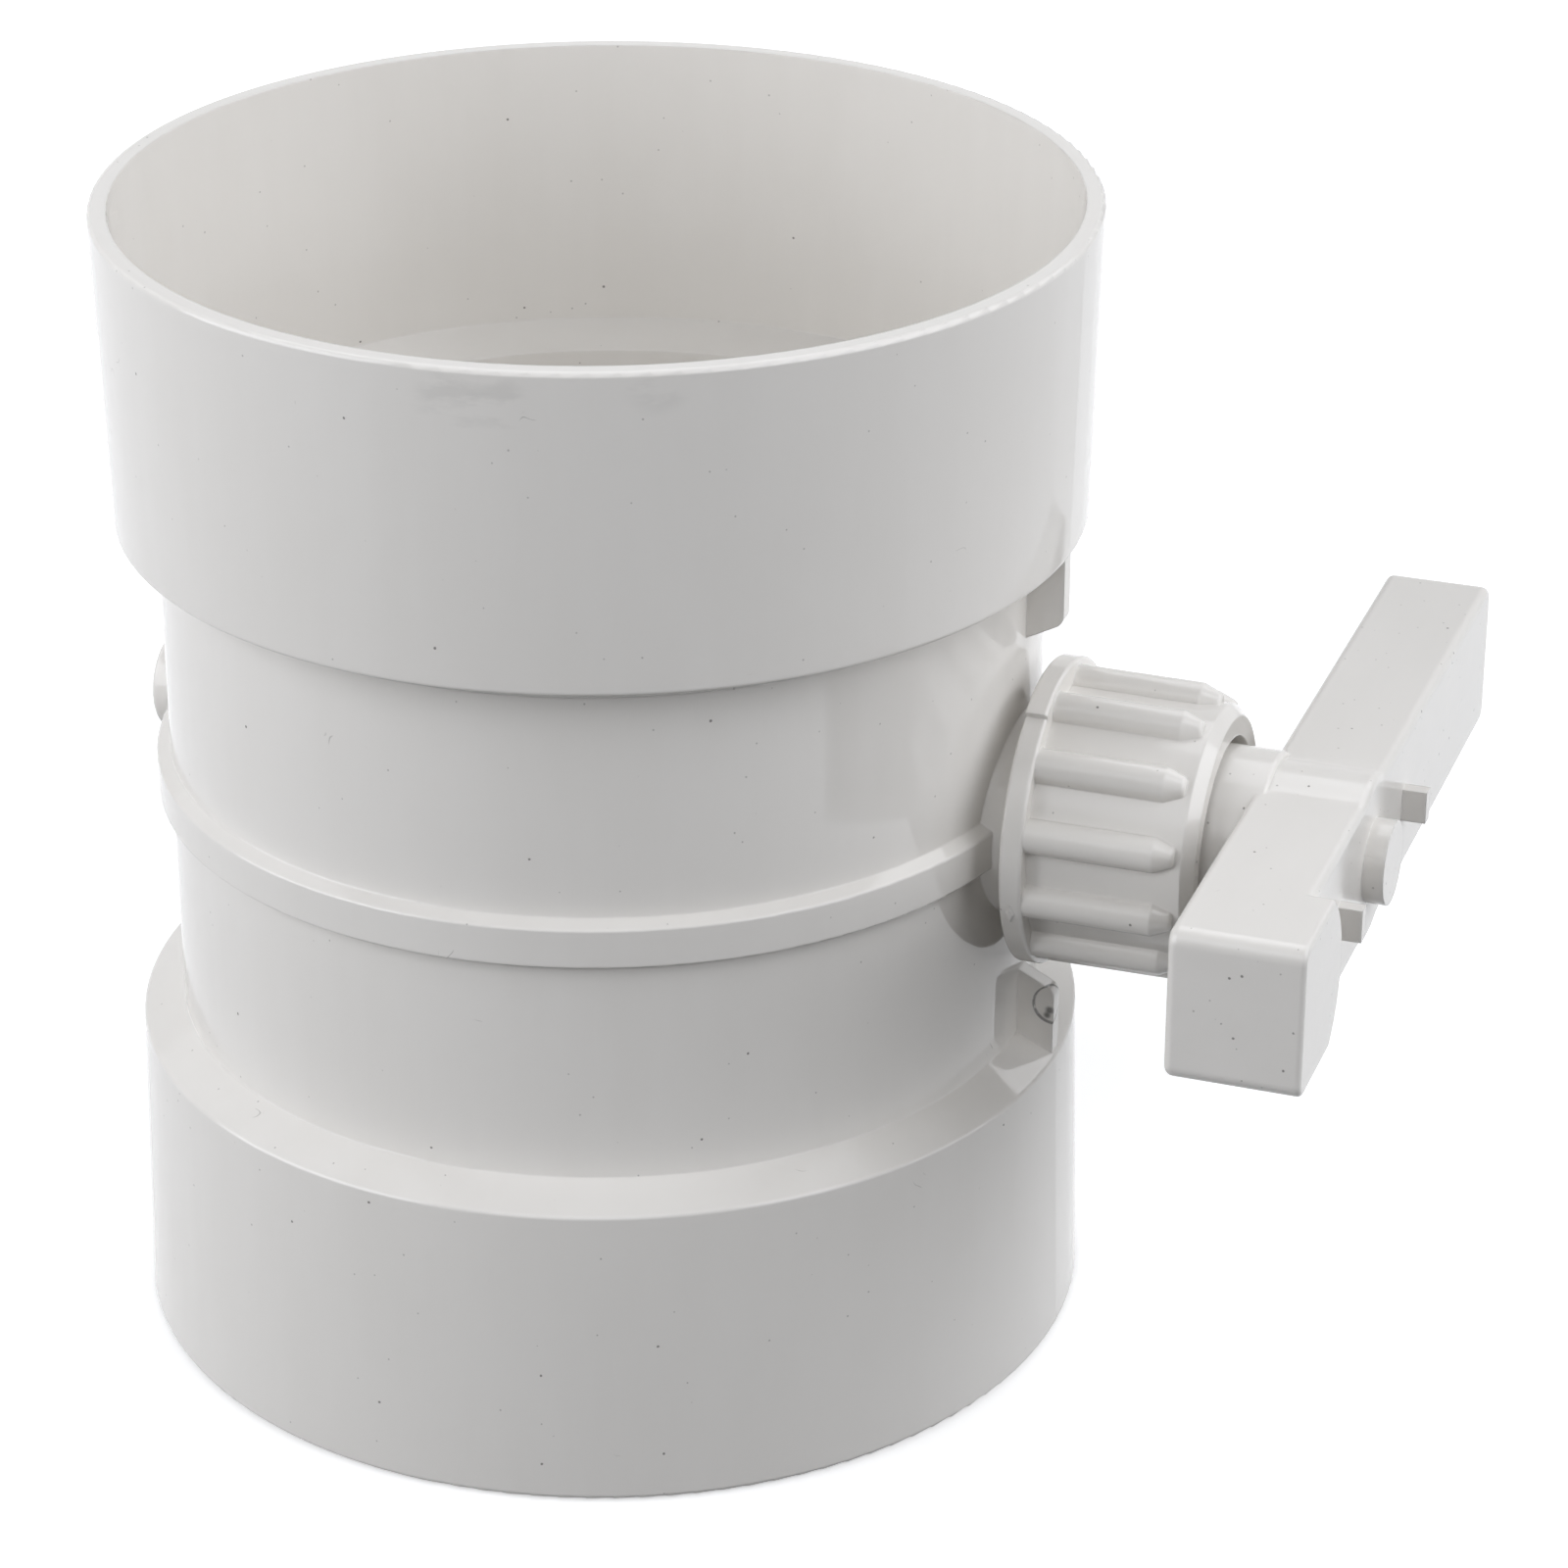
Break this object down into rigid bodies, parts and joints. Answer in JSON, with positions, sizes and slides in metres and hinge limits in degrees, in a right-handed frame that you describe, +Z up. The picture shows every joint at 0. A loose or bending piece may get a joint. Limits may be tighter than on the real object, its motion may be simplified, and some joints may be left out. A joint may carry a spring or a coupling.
{
  "type": "manual duct damper",
  "caption": "Straight duct coupling with a pipe socket at each end, a butterfly blade in its throat, and a lever on a sealed spindle that turns the blade to shut or open the duct.",
  "frame": {"origin": "centre of the lower mouth of the duct, in the plane of the lower rim", "axes": "+Z up along the duct, +X along the spindle towards the handle, +Y along the long arm of the handle"},
  "size_m": [0.1557, 0.1206, 0.14],
  "materials": {
    "duct_body": "moulded gloss, off-white",
    "damper_blade": "moulded gloss, off-white",
    "spindle": "moulded gloss, off-white",
    "seal": "black nitrile rubber",
    "gland_ring": "waxy white polyethylene",
    "gland_nut": "moulded gloss, off-white",
    "handle": "moulded gloss, off-white"
  },
  "bodies": {
    "duct": {"duct_body": "duct_body", "friction_ring": "gland_ring"},
    "shutter": {"damper_blade": "damper_blade", "spindle": "spindle", "inner_o_ring": "seal", "outer_o_ring": "seal", "handle": "handle"},
    "washer": {"slip_washer": "gland_ring"},
    "nut": {"gland_nut": "gland_nut"}
  },
  "joints": [
    {"name": "shutter_turn", "type": "hinge", "parent": "duct", "child": "shutter", "pos_m": [0, 0, 0.07], "axis": [1, 0, 0], "range_deg": [0, 90]},
    {"name": "gland_travel", "type": "slide", "parent": "duct", "child": "washer", "axis": [1, 0, 0], "range_m": [0, 0.003]},
    {"name": "gland_nut_turn", "type": "hinge", "parent": "washer", "child": "nut", "pos_m": [0.066, 0, 0.07], "axis": [1, 0, 0], "range_deg": [0, 360]}
  ],
  "couplings": [
    {"joint": "gland_travel", "follows": "gland_nut_turn", "m_per_rad": 0.00047746}
  ]
}
